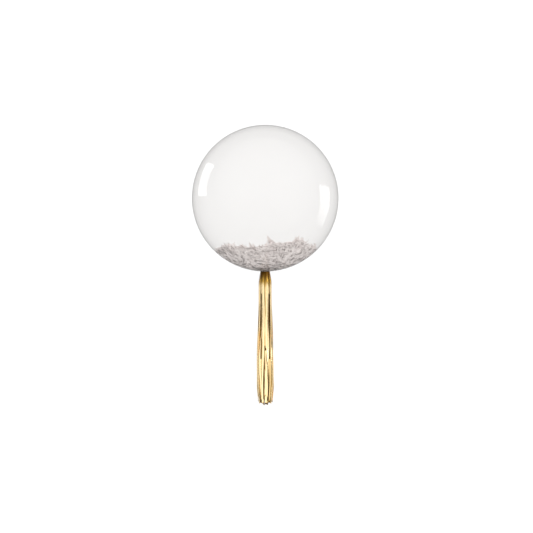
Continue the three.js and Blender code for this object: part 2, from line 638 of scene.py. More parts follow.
@dataclass
class FilmBubble:
    """The blown film: a round bubble drawn together in pleats into a short closed neck."""

    bearings: Bearings
    wall: float = 0.4 * MM
    neck_radius: float = 8 * MM
    neck_length: float = 12 * MM
    flare: float = 9 * MM
    pleats: int = 18
    pleat_depth: float = 1.1 * MM
    pleat_reach: float = 0.14  # radians from the neck in which they fade by two thirds
    closed: float = 0.5 * MM  # the least distance between a pleat and the neck's middle line
    rings: int = 110
    flare_rings: int = 10
    neck_rings: int = 5
    spokes: int = 216

    def outline(self, inset: float) -> np.ndarray:
        """The film's outline from the far pole to the neck's end.

        Args:
            inset: How far inside the outer face it runs.

        Returns:
            Rows of (distance along the neck, distance from it), both in metres.
        """
        sphere = self.bearings.radius - inset
        neck, flare = self.neck_radius - inset, self.flare + inset
        middle = neck + flare
        height = math.sqrt((sphere + flare) ** 2 - middle**2)
        meets = math.atan2(middle, height)
        polar = np.linspace(math.pi, meets, self.rings)
        body = np.stack([sphere * np.cos(polar), sphere * np.sin(polar)], axis=1)
        turn = np.linspace(meets - math.pi, -math.pi / 2, self.flare_rings)[1:]
        hollow = np.stack([height + flare * np.cos(turn), middle + flare * np.sin(turn)], axis=1)
        end = self.bearings.radius + self.neck_length - 2 * inset
        run = np.linspace(height, end, self.neck_rings)[1:]
        tube = np.stack([run, np.full_like(run, neck)], axis=1)
        return np.concatenate([body, hollow, tube])

    def skin(self, inset: float) -> tuple[np.ndarray, list[tuple[int, ...]]]:
        """One closed face of the film, turned outwards.

        Args:
            inset: How far inside the outer face it runs.

        Returns:
            Its points, and its faces as point numbers.
        """
        outline = self.outline(inset)[1:]
        around = np.linspace(0, 2 * math.pi, self.spokes, endpoint=False)
        polar = np.arctan2(outline[:, 1], outline[:, 0])
        fade = np.exp(-((polar / self.pleat_reach) ** 2))
        wave = 0.5 + 0.5 * np.cos(self.pleats * around + 1.3 * np.sin(2 * around))
        pull = self.pleat_depth * fade[:, None] * wave[None, :]
        along = outline[:, 0][:, None] - 0.6 * pull
        out = np.maximum(outline[:, 1][:, None] - 0.8 * pull, self.closed)
        bearings = self.bearings
        points = (
            bearings.centre
            + along[..., None] * bearings.neck
            + (out * np.cos(around))[..., None] * bearings.under
            + (out * np.sin(around))[..., None] * bearings.across
        ).reshape(-1, 3)
        far = bearings.centre - (bearings.radius - inset) * bearings.neck
        near = bearings.centre + outline[-1, 0] * bearings.neck
        points = np.concatenate([points, [far, near]])
        points[:, 2] = np.maximum(points[:, 2], inset)
        count, spokes = len(outline), self.spokes
        faces: list[tuple[int, ...]] = list(ring_quads(count, spokes))
        last = (count - 1) * spokes
        for spoke, following in ring_steps(spokes):
            faces.append((count * spokes, following, spoke))
            faces.append((count * spokes + 1, last + spoke, last + following))
        return points, faces

    def build(self) -> bpy.types.Object:
        """Builds the film with its two faces, the inner one turned to the air inside."""
        outer, outer_faces = self.skin(0.0)
        inner, inner_faces = self.skin(self.wall)
        start = len(outer)
        turned = [tuple(start + corner for corner in reversed(face)) for face in inner_faces]
        mesh = new_mesh("film_bubble", np.concatenate([outer, inner]), [], outer_faces + turned)
        mesh.shade_smooth()
        piece = new_piece("film_bubble", mesh)
        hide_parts("clear_bubble")
        return piece

    def dress(self, piece: bpy.types.Object) -> None:
        """Gives the film its finish."""
        piece.data.materials.append(ClearFilm().make())


# ---- The feathers ----


@dataclass(frozen=True)
class FeatherCut:
    """One kind of feather, in metres."""

    length: float
    width: float
    curl: float  # how far the tip stands off a flat vane, as a share of the length
    lean: float  # how far barbs lean towards the tip, in radians off square
    barbs: int
    seed: int


CUTS = (
    FeatherCut(0.042, 0.0145, 0.12, 0.80, 24, 3),
    FeatherCut(0.036, 0.016, 0.20, 0.65, 23, 11),
    FeatherCut(0.048, 0.013, 0.08, 0.90, 25, 29),
    FeatherCut(0.030, 0.017, 0.28, 0.55, 21, 47),
    FeatherCut(0.038, 0.014, -0.12, 0.75, 23, 61),
)
SHAFT_RADIUS = 0.35 * MM
SHAFT_SIDES = 3
SHAFT_STATIONS = 5
CAMBER = 9.0  # how fast a vane falls away from its shaft, in 1/m


def feather_group() -> bpy.types.NodeTree:
    """One feather: a bent shaft with a row of soft, pointed barbs on each side.

    Returns:
        The group. The feather starts at the origin, runs along Y and faces Z.
    """
    numbers = dict.fromkeys(("Length", "Width", "Curl", "Lean"), Socket.NUMBER)
    wholes = dict.fromkeys(("Barbs", "Seed"), Socket.WHOLE)
    draft = GeometryDraft("feather", numbers | wholes)
    length, width, curl, lean, barbs, seed = draft.taken(*numbers, *wholes)
    line = draft.out("GeometryNodeCurvePrimitiveLine", {"End": draft.vector(0.0, length, 0.0)})
    rows = draft.out("GeometryNodeResampleCurve", {"Curve": line, "Count": barbs})
    share = draft.wire("GeometryNodeSplineParameter", output="Factor")
    kept = {"Geometry": rows, "Name": "row", "Value": share}
    rows = draft.out("GeometryNodeStoreNamedAttribute", kept)
    spots = draft.out("GeometryNodeCurveToPoints", {0: rows}, mode="EVALUATED")
    row = Signal(draft, draft.read("row"))

    square = {"Size X": 1.0, "Size Y": 1.0, "Vertices X": 2, "Vertices Y": 2}
    barb = draft.out("GeometryNodeMeshGrid", square)
    x, y, _ = draft.position()
    reach = y + 0.5
    narrow = 1 - 0.75 * reach

    fullness = (row * 2.2 + 0.45).eased(0.0, 1.0) * (1 - 0.75 * row**4)
    downy = 1 - (row * 2.2).eased(0.0, 1.0)
    rising = lean * (0.5 + 0.75 * row)
    parts = []
    for side, salt in ((1.0, 5), (-1.0, 9)):
        shaped = draft.vector(x * narrow + side * 0.2 * reach, reach, 0.0)
        swept = draft.out("GeometryNodeSetPosition", {"Geometry": barb, "Position": shaped})
        long = fullness * width * draft.chance(0.46, 0.58, seed + salt)
        loose = 0.10 + 0.8 * downy
        tilt = draft.chance(-1.0, 1.0, seed + (salt + 1)) * loose
        wander = draft.chance(-1.0, 1.0, seed + (salt + 2)) * loose * 0.6
        turn = (math.pi / 2 - rising + wander) * side
        broad = length / barbs * (2.5 - 1.2 * downy)
        turns = draft.vector(tilt, 0.0, turn)
        stand = {
            "Points": spots,
            "Instance": swept,
            "Rotation": draft.out("FunctionNodeEulerToRotation", {0: turns}),
            "Scale": draft.vector(broad, long * 1.25, width * 0.5),
        }
        parts.append(draft.out("GeometryNodeInstanceOnPoints", stand))

    few = draft.out("GeometryNodeResampleCurve", {"Curve": line, "Count": SHAFT_STATIONS})
    round_line = {"Resolution": SHAFT_SIDES, "Radius": SHAFT_RADIUS}
    ring = draft.out("GeometryNodeCurvePrimitiveCircle", round_line)
    shaft = {"Curve": few, "Profile Curve": ring, "Scale": 1.1 - share * 0.9}
    parts.append(draft.out("GeometryNodeCurveToMesh", shaft))
    whole = draft.out("GeometryNodeJoinGeometry", {0: parts})
    whole = draft.out("GeometryNodeRealizeInstances", {0: whole})
    x, y, _ = draft.position()
    far = y / length
    lift = curl * length * far * far - x * x * CAMBER
    drift = far * far * length * (seed * 2.4).sine() * 0.16
    bent = draft.vector(drift, 0.0 - curl * curl * far**3 * length * 0.3, lift)
    return draft.finish(draft.out("GeometryNodeSetPosition", {"Geometry": whole, "Offset": bent}))


def heap_group(cuts: tuple[FeatherCut, ...]) -> bpy.types.NodeTree:
    """Lays one feather on each point of a mesh.

    Args:
        cuts: The kinds of feather to choose from.

    Returns:
        The group. Points carry "aim", "face", "reach" and "kind".
    """
    inputs = {"Geometry": Socket.GEOMETRY, "Material": Socket.MATERIAL}
    draft = GeometryDraft("feather_heap", inputs)
    feather = feather_group()
    kinds = []
    for cut in reversed(cuts):
        sizes = {name.capitalize(): value for name, value in asdict(cut).items()}
        made = draft.out("GeometryNodeGroup", sizes, node_tree=feather)
        kinds.append(draft.out("GeometryNodeGeometryToInstance", {0: made}))
    axes = {
        "Primary Axis": draft.read("aim", "FLOAT_VECTOR"),
        "Secondary Axis": draft.read("face", "FLOAT_VECTOR"),
    }
    laid = {
        "Points": draft.given["Geometry"],
        "Instance": draft.out("GeometryNodeJoinGeometry", {0: kinds}),
        "Pick Instance": True,
        "Instance Index": draft.read("kind", "INT"),
        "Rotation": draft.out(
            "FunctionNodeAxesToRotation", axes, primary_axis="Y", secondary_axis="Z"
        ),
        "Scale": draft.read("reach"),
    }
    return draft.finish_piece(draft.out("GeometryNodeInstanceOnPoints", laid))


@dataclass
class FeatherHeap:
    """White feathers that cling to the film beside the neck, over a bed of matted down."""

    bearings: Bearings
    clearance: float = 1.6 * MM  # between the film's outer face and the nearest barb
    bed_least: float = 2 * MM
    lumps: float = 0.35
    bed_depth: float = 22 * MM
    near_side: float = 0.01  # how much less far from the neck it reaches on the upper side
    spokes: int = 180
    rings: int = 46
    seed: int = 20
    inner_feathers: int = 800
    pressed_feathers: int = 1000
    brow_feathers: int = 240
    # painted light: the bed is toned lighter than most feathers, which lifts the shade in the gaps
    # between them
    bed_tone: float = 0.15
    coarse_lump: float = 20 * MM
    fine_lump: float = 6.5 * MM
    widest: float = 0.95  # radians from the neck within which feathers are dropped
    margin: float = 0.97  # the share of the heap's reach that they may take
    lay_root: float = 14 * MM  # how far behind its seat a full-sized feather starts
    brow_root: float = 12 * MM
    tuft_root: float = 8 * MM
    tuft_gap: float = 6 * MM

    # The heap's brow, in bubble radii: places across, and how far past the centre to the neck.
    brow: tuple[Key, ...] = (
        (-0.74, 0.78), (-0.63, 0.70), (-0.56, 0.665), (-0.50, 0.68), (-0.44, 0.695),
        (-0.385, 0.70), (-0.33, 0.68), (-0.27, 0.70), (-0.19, 0.68), (-0.13, 0.69),
        (-0.06, 0.675), (0.03, 0.68), (0.10, 0.635), (0.20, 0.63), (0.30, 0.645),
        (0.36, 0.64), (0.42, 0.61), (0.46, 0.595), (0.50, 0.60), (0.55, 0.64),
        (0.60, 0.68), (0.66, 0.70), (0.74, 0.735),
    )

    def reach(self, around: np.ndarray) -> np.ndarray:
        """How far from the neck the heap goes, in radians.

        Args:
            around: Angles about the neck, from the under side.

        Returns:
            The polar angle of the heap's brow at each of them.
        """
        polar = np.full_like(around, 0.8)
        for _ in range(12):
            sideways = np.sin(polar) * np.sin(around)
            polar = 0.5 * polar + 0.5 * np.arccos(keyed(sideways, self.brow))
        return polar - self.near_side * (1 - smooth(np.cos(around), -0.6, 0.2))

    def depth(self, polar: np.ndarray, around: np.ndarray) -> np.ndarray:
        """The bed's thickness at angles from and about the neck, in metres."""
        rounded = (1 - np.clip(polar / self.reach(around), 0, 1) ** 6) ** 0.5
        below = smooth(np.cos(around), -0.7, 0.6) - 0.5
        lean = 0.6 + 0.8 * below * smooth(polar, 0.0, 0.4)
        return self.bed_least + (self.bed_depth - self.bed_least) * rounded * lean

    def lump(self, rays: np.ndarray, size: float, salt: float) -> np.ndarray:
        """Soft noise over directions, from -1 to 1, with patches of that size."""
        places = (rays * self.bearings.radius / size + salt).reshape(-1, 3)
        return np.array([noise.noise(Vector(place)) for place in places]).reshape(rays.shape[:-1])

    def packed(self, points: np.ndarray) -> np.ndarray:
        """How much painted shade the down gets at each point: most where it lies against the film by
        the neck.
        """
        offset = points - self.bearings.centre
        polar = np.arccos(np.clip(unit(offset) @ self.bearings.neck, -1.0, 1.0))
        near = smooth(np.linalg.norm(offset, axis=1), self.limit() - 8 * MM, self.limit() - 1 * MM)
        tight = 1.05 - smooth(polar, 0.0, 0.56)
        return np.maximum(near * tight, 0.12 * (1 - smooth(polar, 0.3, 0.8)))

    def limit(self) -> float:
        """The greatest distance from the centre that a feather may have."""
        return self.bearings.radius - self.clearance

    def inside(self, points: np.ndarray) -> np.ndarray:
        """Points moved in where they would be in the film or the floor."""
        offset = points - self.bearings.centre
        length = np.linalg.norm(offset, axis=1, keepdims=True)
        shrunk = np.minimum(1.0, self.limit() / np.maximum(length, 1e-9))
        kept = self.bearings.centre + offset * shrunk
        kept[:, 2] = np.maximum(kept[:, 2], self.clearance)
        return kept

    def bed(self) -> bpy.types.Object:
        """The matted down under the feathers, as one closed pillow that follows the film."""
        around = np.linspace(0, 2 * math.pi, self.spokes, endpoint=False)
        brow = self.reach(around)
        steps = np.linspace(0, 1, self.rings + 1)[1:] ** 0.85
        polar = steps[:, None] * brow[None, :]
        grid = np.broadcast_to(around[None, :], polar.shape)
        rays = self.bearings.ray(polar, grid)
        coarse, fine = self.lump(rays, self.coarse_lump, 3.1), self.lump(rays, self.fine_lump, 17.0)
        thick = self.depth(polar, grid) * (1 + self.lumps * coarse + 0.5 * self.lumps * fine)
        slack = 3.0 * MM + 3.0 * MM * np.abs(coarse) + 1.5 * MM * np.abs(fine)
        outer = self.limit() - slack * self.snug(polar)
        sheets = []
        for reach in (outer, outer - thick):
            body = self.bearings.centre + rays * reach[..., None]
            pole = self.bearings.centre + self.bearings.neck * reach[0].mean()
            sheets.append(np.concatenate([body.reshape(-1, 3), [pole]]))
        count, spokes = self.rings, self.spokes
        start = len(sheets[0])
        faces: list[tuple[int, ...]] = []
        for a, b, c, d in ring_quads(count, spokes):
            faces.append((a, d, c, b))
            faces.append((start + b, start + c, start + d, start + a))
        last = (count - 1) * spokes
        for spoke, following in ring_steps(spokes):
            faces.append((start - 1, spoke, following))
            faces.append((2 * start - 1, start + following, start + spoke))
            near, far = last + spoke, last + following
            faces.append((near, start + near, start + far, far))
        points = self.inside(np.concatenate(sheets))
        mesh = new_mesh("down_bed", points, [], faces)
        store(mesh, "tone", np.full(len(points), self.bed_tone))
        store(mesh, "packed", self.packed(points))
        mesh.shade_smooth()
        return new_piece("down_bed", mesh)

    def snug(self, polar: np.ndarray) -> np.ndarray:
        """How freely the down lies on the film: hardly at all in the mouth of the neck."""
        return 0.1 + 0.9 * smooth(polar, 0.06, 0.16)

    def seats(self, side: float) -> bpy.types.Mesh:
        """The points on which feathers lie, with how each one is turned, sized and toned.

        Args:
            side: 1 for the face towards the bubble's middle, -1 for the face against the film.

        Returns:
            A mesh of the points alone.
        """
        dice = np.random.default_rng(self.seed + int(side))
        if side > 0:
            rows = [self.lay(dice, self.inner_feathers, side), self.tufts()]
        else:
            rows = [self.lay(dice, self.pressed_feathers, side)]
            rows.append(self.crest(dice, self.brow_feathers))
        merged = {key: np.concatenate([row[key] for row in rows]) for key in rows[0]}
        place = merged.pop("place")
        merged["packed"] = self.packed(place)
        mesh = new_mesh("seats", place, [], [])
        for name, values in merged.items():
            store(mesh, name, values)
        return mesh

    def lay(self, dice: np.random.Generator, count: int, side: float) -> dict[str, np.ndarray]:
        """Feathers lying on the bed.

        Args:
            dice: Where the chances come from.
            count: How many.
            side: 1 for the face towards the bubble's middle, -1 for the face against the film.

        Returns:
            The seats' places and attributes.
        """
        tries = 5 * count
        around = dice.uniform(-math.pi, math.pi, tries)
        polar = np.arccos(dice.uniform(math.cos(self.widest), 1.0, tries))
        kept = np.flatnonzero(polar < self.margin * self.reach(around))[:count]
        around, polar = around[kept], polar[kept]
        rays = self.bearings.ray(polar, around)
        level = self.limit() - dice.uniform(1.5, 4.2, len(kept)) * MM * self.snug(polar)
        if side > 0:
            level = level - self.depth(polar, around)
        face = -side * rays + dice.normal(0, 0.12 if side > 0 else 0.15, rays.shape)
        aim = dice.normal(0, 1, rays.shape)
        aim = unit(aim - (aim * rays).sum(1, keepdims=True) * rays)
        lift = dice.uniform(-0.05, 0.10, (len(kept), 1)) if side > 0 else 0.0
        aim = unit(aim - lift * rays)
        reach = dice.uniform(0.5, 0.9, len(kept))
        root = aim * self.lay_root * reach[:, None]
        return {
            "place": self.bearings.centre + rays * level[:, None] - root,
            "aim": aim,
            "face": unit(face),
            "reach": reach,
            "kind": dice.integers(0, len(CUTS), len(kept)),
            "tone": dice.uniform(0.0, 1.0, len(kept)),
        }

    def crest(self, dice: np.random.Generator, count: int) -> dict[str, np.ndarray]:
        """Feathers that stand a little out of the heap's brow."""
        around = np.sort(dice.uniform(-math.pi, math.pi, count))
        polar = self.reach(around) * dice.uniform(0.90, 0.99, count)
        rays = self.bearings.ray(polar, around)
        outward = unit(self.bearings.ray(polar + 0.01, around) - rays)
        aim = unit(0.35 * outward + dice.normal(0, 1.0, rays.shape))
        aim = unit(aim - 0.75 * (aim * rays).sum(1, keepdims=True) * rays)
        level = self.limit() - dice.uniform(1.8, 7.0, (count, 1)) * MM
        reach = dice.uniform(0.4, 0.75, count)
        return {
            "place": self.bearings.centre + rays * level - aim * self.brow_root * reach[:, None],
            "aim": aim,
            "face": unit(rays + dice.normal(0, 0.35, rays.shape)),
            "reach": reach,
            "kind": dice.integers(0, len(CUTS), count),
            "tone": dice.uniform(0.0, 0.7, count),
        }

    # Feathers that stand well out: across, past the centre to the neck, turn, size and kind.
    TUFTS = (
        (0.125, 0.640, -0.75, 0.95, 3),
        (0.105, 0.655, -0.62, 1.05, 0),
        (0.085, 0.675, -0.25, 0.80, 1),
        (0.455, 0.635, 0.05, 0.85, 0),
        (0.485, 0.640, 0.25, 0.80, 0),
        (0.435, 0.640, -0.15, 0.80, 0),
        (0.515, 0.660, 0.35, 0.75, 1),
        (0.545, 0.675, 0.55, 0.70, 1),
        (0.660, 0.705, 0.25, 0.72, 3),
        (0.705, 0.715, -0.10, 0.70, 1),
        (-0.415, 0.705, 0.05, 0.55, 3),
        (-0.340, 0.695, -0.30, 0.50, 1),
        (-0.560, 0.700, -0.25, 0.60, 3),
        (-0.190, 0.700, 0.30, 0.50, 1),
        (0.230, 0.665, 0.70, 0.60, 3),
    )

    def tufts(self) -> dict[str, np.ndarray]:
        """The few feathers that stand well out of the brow."""
        across, behind, turn, size, kind = (np.array(column) for column in zip(*self.TUFTS))
        below = np.sqrt(np.maximum(1 - across**2 - behind**2, 0.02))
        bearings = self.bearings
        rays = unit(
            across[:, None] * bearings.across
            + behind[:, None] * bearings.neck
            + below[:, None] * bearings.under
        )
        aim = np.sin(turn)[:, None] * bearings.across - np.cos(turn)[:, None] * bearings.neck
        aim = unit(aim - 0.35 * (aim * rays).sum(1, keepdims=True) * rays)
        return {
            "place": bearings.centre + rays * (self.limit() - self.tuft_gap) - aim * self.tuft_root,
            "aim": aim,
            "face": unit(-rays * 0.8 - 0.5 * bearings.under),
            "reach": size,
            "kind": kind.astype(int),
            "tone": np.full(len(size), 0.25),
        }

    def feathers(self, name: str, side: float, finish: bpy.types.Material) -> bpy.types.Object:
        """Lays the feathers of one face of the heap and keeps every barb inside the film.

        Args:
            name: The piece's name.
            side: 1 for the face towards the bubble's middle, -1 for the face against the film.
            finish: The feathers' finish.

        Returns:
            The piece.
        """
        mesh = grow(name, self.seats(side), heap_group(CUTS), {"Material": finish})
        mesh.vertices.foreach_set("co", self.inside(points_of(mesh)).ravel())
        mesh.update()
        mesh.shade_smooth()
        return new_piece(name, mesh)

    def build(self) -> list[bpy.types.Object]:
        """Builds and dresses the bed and its feathers."""
        finish = WhiteDown().make()
        bed = self.bed()
        bed.data.materials.append(finish)
        return [
            bed,
            self.feathers("white_feathers", 1.0, finish),
            self.feathers("pressed_feathers", -1.0, finish),
        ]


# ---- The tassel ----


@dataclass(frozen=True)
class Layer:
    """One layer of foil strips in the bundle."""

    count: int
    level: float  # from the bundle's middle line, as a share of its half width
    starts: float  # the share of the bundle's length at which its strips are first seen
    sway: float  # radians round the bundle
    tone: Key  # the least and greatest darkness of its foil; the darker tones of the inner layers are painted shade


@dataclass(frozen=True)
class Lead:
    """One strip on top of the bundle, laid along a listed track."""

    track: tuple[Key, ...]  # (share of the length, place across in half widths)
    breadth: float  # in metres
    # how dark its foil is; the darkest leads are painted shade for the dark lines between strips
    tone: float
    starts: float = 0.005
    ends: float = 1.0
    roll: float = 0.0
    rise: float = 1.0  # where it lies against the bundle's top


UPPER = (0.16, 0.66)  # where the strips of the upper half that are painted dark, as painted shade for the dark lines between strips, start and end


@dataclass
class FoilTassel:
    """A bundle of loose foil strips, gathered round the neck and let down along the floor."""

    bearings: Bearings
    run: float = 432 * MM
    droop: float = 0.56
    root_depth: float = 3 * MM
    thickness: float = 26 * MM
    sink: float = 1 * MM
    head: float = 15.5 * MM
    head_growth: float = 7 * MM
    skirt_growth: float = 7 * MM
    tip_taper: float = 6 * MM
    strip: float = 5.5 * MM
    foil: float = 0.25 * MM
    camber: float = 0.75  # radians to each side of the strip's middle
    stations: int = 72
    profile_points: int = 5
    floor_clearance: float = 0.1 * MM
    sharp: float = 50.0  # degrees
    seed: int = 7
    # The inner layers get darker tones: painted shade inside the bundle.
    layers: tuple[Layer, ...] = (
        Layer(24, 0.97, 0.005, 0.10, (0.0, 0.6)),
        Layer(26, 0.84, 0.006, 0.14, (0.2, 1.1)),
        Layer(18, 0.62, 0.05, 0.18, (0.5, 1.2)),
        Layer(8, 0.30, 0.06, 0.2, (0.6, 1.2)),
    )
    leads: tuple[Lead, ...] = (
        Lead(((0, -0.5), (0.15, -0.60), (0.3, -0.60), (0.62, -0.54)), 4.5 * MM, 2.1, *UPPER),
        Lead(((0, 0.5), (0.15, 0.60), (0.3, 0.60), (0.62, 0.54)), 4.5 * MM, 2.1, *UPPER),
        Lead(
            ((0, -0.2), (0.12, -0.40), (0.3, -0.26), (0.6, -0.26), (1, -0.42)), 8 * MM, 0.0,
            roll=0.1, rise=1.05,
        ),
        Lead(
            ((0, 0.2), (0.12, 0.40), (0.3, 0.26), (0.6, 0.24), (1, 0.12)), 8 * MM, 0.0,
            roll=-0.1, rise=1.05,
        ),
        Lead(((0, 0.0), (1, 0.0)), 6 * MM, 0.7, ends=0.5, rise=0.98),
        Lead(
            ((0, -0.8), (0.2, -0.84), (0.6, -0.84), (1, -0.86)), 7 * MM, 0.05, roll=0.5, rise=0.98
        ),
        Lead(
            ((0, 0.8), (0.2, 0.84), (0.6, 0.84), (1, 0.88)), 7 * MM, 0.05, roll=-0.5, rise=0.98
        ),
        # The next two strips are painted dark, as painted shade for the dark lines between strips.
        Lead(
            ((0.5, 0.0), (0.62, -0.06), (0.8, -0.18), (1, -0.2)), 4 * MM, 2.0, 0.56, 0.97, rise=1.06
        ),
        Lead(
            ((0.5, 0.0), (0.62, 0.10), (0.8, 0.36), (1, 0.42)), 4 * MM, 2.1, 0.58, 0.98, rise=1.06
        ),
        Lead(
            ((0.5, 0.1), (0.7, 0.05), (0.85, 0.06), (1, 0.02)), 6 * MM, 0.2, 0.6, 0.95, rise=1.08
        ),
    )

    def path(self) -> tuple[np.ndarray, np.ndarray, np.ndarray]:
        """The bundle's middle line.

        Returns:
            Shares of its length, the points at them, and the directions there.
        """
        bearings = self.bearings
        root = bearings.centre + bearings.neck * (bearings.radius - self.root_depth)
        height = self.thickness / 2 - self.sink
        end = (bearings.centre + bearings.neck * bearings.radius)[1] - self.run
        tip = np.array([0.0, end, height])
        landing = np.array([0.0, root[1] + (end - root[1]) * self.droop, height])
        leaving = root + bearings.neck * 0.4 * self.droop * self.run
        arriving = np.array([0.0, root[1] + (end - root[1]) * 0.65 * self.droop, height])
        t = np.linspace(0, 1, 300)[:, None]
        bend = (
            (1 - t) ** 3 * root
            + 3 * (1 - t) ** 2 * t * leaving
            + 3 * (1 - t) * t**2 * arriving
            + t**3 * landing
        )
        flat = landing + np.linspace(0, 1, 120)[1:, None] * (tip - landing)
        points = np.concatenate([bend, flat])
        lengths = np.linalg.norm(np.diff(points, axis=0), axis=1)
        share = np.concatenate([[0], np.cumsum(lengths)])
        return share / share[-1], points, unit(np.gradient(points, axis=0))

    def half_width(self, share: np.ndarray) -> np.ndarray:
        """Half the bundle's width at shares of its length."""
        return (
            self.head
            + self.head_growth * smooth(share, -0.02, 0.10)
            + self.skirt_growth * smooth(share, 0.18, 0.78)
            - self.tip_taper * smooth(share, 0.84, 1.0)
        )

    def half_height(self, share: np.ndarray) -> np.ndarray:
        """Half the bundle's thickness: round in its head, flatter where it lies."""
        settled = smooth(share, 0.1, 0.6)
        return self.half_width(share) * (1 - settled) + self.thickness / 2 * settled

    def put(self, across: np.ndarray, up: np.ndarray, share: np.ndarray) -> np.ndarray:
        """Points given round the middle line, in the balloon's frame."""
        shares, points, _ = self.path()
        middle = np.stack([np.interp(share, shares, column) for column in points.T], axis=1)
        return middle + across[:, None] * self.bearings.across + up[:, None] * self.upward(share)

    def upward(self, share: np.ndarray) -> np.ndarray:
        """The direction square to the middle line on the bundle's upper side."""
        shares, _, ways = self.path()
        way = unit(np.stack([np.interp(share, shares, column) for column in ways.T], axis=1))
        return unit(np.cross(way, self.bearings.across))

    def strand(
        self,
        share: np.ndarray,
        across: np.ndarray,
        up: np.ndarray,
        facing: np.ndarray,
        breadth: np.ndarray,
        tone: float,
    ) -> dict[str, np.ndarray]:
        """One strip's line with what it carries at each station.

        Args:
            share: Shares of the bundle's length.
            across: Places across, in metres.
            up: Places above the middle line, in metres.
            facing: The angle of the strip's face in the bundle's section.
            breadth: The strip's width against its usual one.
            tone: How dark its foil is; high tones are painted shade.

        Returns:
            The strip's points and attributes.
        """
        upward = self.upward(share)
        face = np.cos(facing)[:, None] * self.bearings.across + np.sin(facing)[:, None] * upward
        points = self.put(across, up, share)
        points[:, 2] = np.maximum(points[:, 2], 0.8 * MM)
        last = share[-1]
        return {
            "place": points,
            "face": face,
            "breadth": breadth,
            # painted shade: the last two hundredths of each strip are darker
            "tone": tone + 0.5 * smooth(share, last - 0.02, last),
            "along": share,
        }

    def layer_strands(self, dice: np.random.Generator, layer: Layer) -> list[dict[str, np.ndarray]]:
        """The strips of one layer, spread unevenly round the bundle."""
        made = []
        for number in range(layer.count):
            ends = 1 - 0.07 * dice.random()
            share = np.linspace(layer.starts, ends, self.stations)
            angle = 2 * math.pi * (number + 0.6 * dice.random()) / layer.count
            wave = np.sin(2 * math.pi * dice.uniform(0.6, 1.7) * share + dice.uniform(0, 6.3))
            around = angle + layer.sway * smooth(share, 0.12, 0.6) * wave
            level = layer.level + dice.uniform(-0.04, 0.04) + 0.05 * wave * smooth(share, 0.2, 0.8)
            wide, high = self.half_width(share), self.half_height(share)
            near_neck = 1 - smooth(share, 0.035, 0.06)
            level = np.maximum(level, near_neck * 0.64)
            x, y = level * wide * np.cos(around), level * high * np.sin(around)
            roll = dice.normal(0, 0.45) * smooth(share, 0.12, 0.5)
            roll = roll + dice.normal(0, 0.35) * np.sin(
                2 * math.pi * dice.uniform(1, 3) * share + dice.uniform(0, 6.3)
            ) * smooth(share, 0.1, 0.4)
            facing = np.arctan2(wide * np.sin(around), high * np.cos(around)) + roll
            breadth = dice.uniform(0.8, 1.25) * (0.55 + 0.45 * smooth(share, 0.03, 0.22))
            made.append(self.strand(share, x, y, facing, breadth, dice.uniform(*layer.tone)))
        return made

    def lead_strands(self) -> list[dict[str, np.ndarray]]:
        """The listed strips that are laid over the bundle's top."""
        made = []
        for lead in self.leads:
            share = np.linspace(lead.starts, lead.ends, self.stations)
            keys = np.array(lead.track)
            spot = np.interp(share, keys[:, 0], keys[:, 1])
            spot = np.convolve(np.pad(spot, 4, mode="edge"), np.ones(9) / 9, mode="valid")
            wide, high = self.half_width(share), self.half_height(share)
            around = np.arccos(np.clip(spot, -0.98, 0.98))
            x, y = wide * spot, lead.rise * high * np.sin(around)
            facing = np.arctan2(wide * np.sin(around), high * spot)
            facing = facing + lead.roll * smooth(share, 0.1, 0.3)
            breadth = lead.breadth / self.strip * (0.6 + 0.4 * smooth(share, 0.03, 0.2))
            made.append(self.strand(share, x, y, facing, breadth, lead.tone))
        return made

    def guides(self) -> bpy.types.Mesh:
        """Every strip's middle line as a row of edges."""
        dice = np.random.default_rng(self.seed)
        strands = [s for layer in self.layers for s in self.layer_strands(dice, layer)]
        strands += self.lead_strands()
        count = self.stations
        merged = {key: np.concatenate([strand[key] for strand in strands]) for key in strands[0]}
        starts = range(0, len(strands) * count, count)
        edges = [(start + step, start + step + 1) for start in starts for step in range(count - 1)]
        mesh = new_mesh("guides", merged.pop("place"), edges, [])
        for name, values in merged.items():
            store(mesh, name, values)
        return mesh

    def strip_group(self) -> bpy.types.NodeTree:
        """Sweeps a cambered strip along every line of a mesh of edges."""
        inputs = {"Width": Socket.NUMBER, "Camber": Socket.NUMBER}
        draft = GeometryDraft(
            "foil_strips", {"Geometry": Socket.GEOMETRY, **inputs, "Material": Socket.MATERIAL}
        )
        width, camber = draft.taken("Width", "Camber")
        radius = width / 2.0 / camber.sine()
        bow = {
            "Resolution": self.profile_points,
            "Radius": radius,
            "Start Angle": 0.0 - camber,
            "Sweep Angle": camber * 2.0,
        }
        arc = draft.out("GeometryNodeCurveArc", bow, mode="RADIUS")
        inward = {"Geometry": arc, "Offset": draft.vector(0.0 - radius, 0.0, 0.0)}
        lines = draft.out("GeometryNodeMeshToCurve", {"Mesh": draft.given["Geometry"]})
        faced = {"Curve": lines, "Normal": draft.read("face", "FLOAT_VECTOR")}
        swept = {
            "Curve": draft.out("GeometryNodeSetCurveNormal", faced, mode="FREE"),
            "Profile Curve": draft.out("GeometryNodeSetPosition", inward),
            "Scale": draft.read("breadth"),
        }
        return draft.finish_piece(draft.out("GeometryNodeCurveToMesh", swept))

    def build(self) -> bpy.types.Object:
        """Builds and dresses the strips."""
        values = {"Width": self.strip, "Camber": self.camber, "Material": GoldFoil().make()}
        mesh = grow("foil_strips", self.guides(), self.strip_group(), values, self.foil)
        points = points_of(mesh)
        points[:, 2] = np.maximum(points[:, 2], self.floor_clearance)
        mesh.vertices.foreach_set("co", points.ravel())
        mesh.update()
        mesh.shade_smooth()
        mesh.set_sharp_from_angle(angle=math.radians(self.sharp))
        piece = new_piece("foil_strips", mesh)
        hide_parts("foil_tassel")
        return piece


# ---- The studio ----


